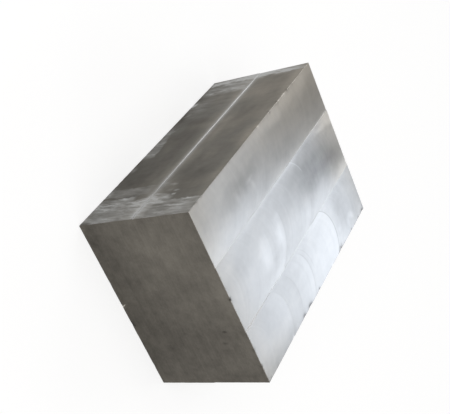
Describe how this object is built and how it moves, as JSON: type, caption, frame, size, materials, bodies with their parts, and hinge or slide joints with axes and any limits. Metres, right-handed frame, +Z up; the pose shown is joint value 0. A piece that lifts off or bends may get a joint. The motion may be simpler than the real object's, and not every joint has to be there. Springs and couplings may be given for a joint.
{
  "type": "milled steel block",
  "caption": "Solid rectangular block of very thick steel plate with sawn ends and face-milled top and sides, lying flat, as raw stock for machining.",
  "frame": {"origin": "middle of the base, on the surface that the block lies on", "axes": "+X along the length towards the far sawn end, +Y across the width towards the front milled side, +Z up to the milled top"},
  "size_m": [0.31, 0.2, 0.13],
  "materials": {
    "milled_steel": "bright face-milled top with tool arcs, darker milled sides, dull sawn ends"
  },
  "bodies": {
    "root": {"metal_block": "milled_steel"}
  },
  "joints": []
}
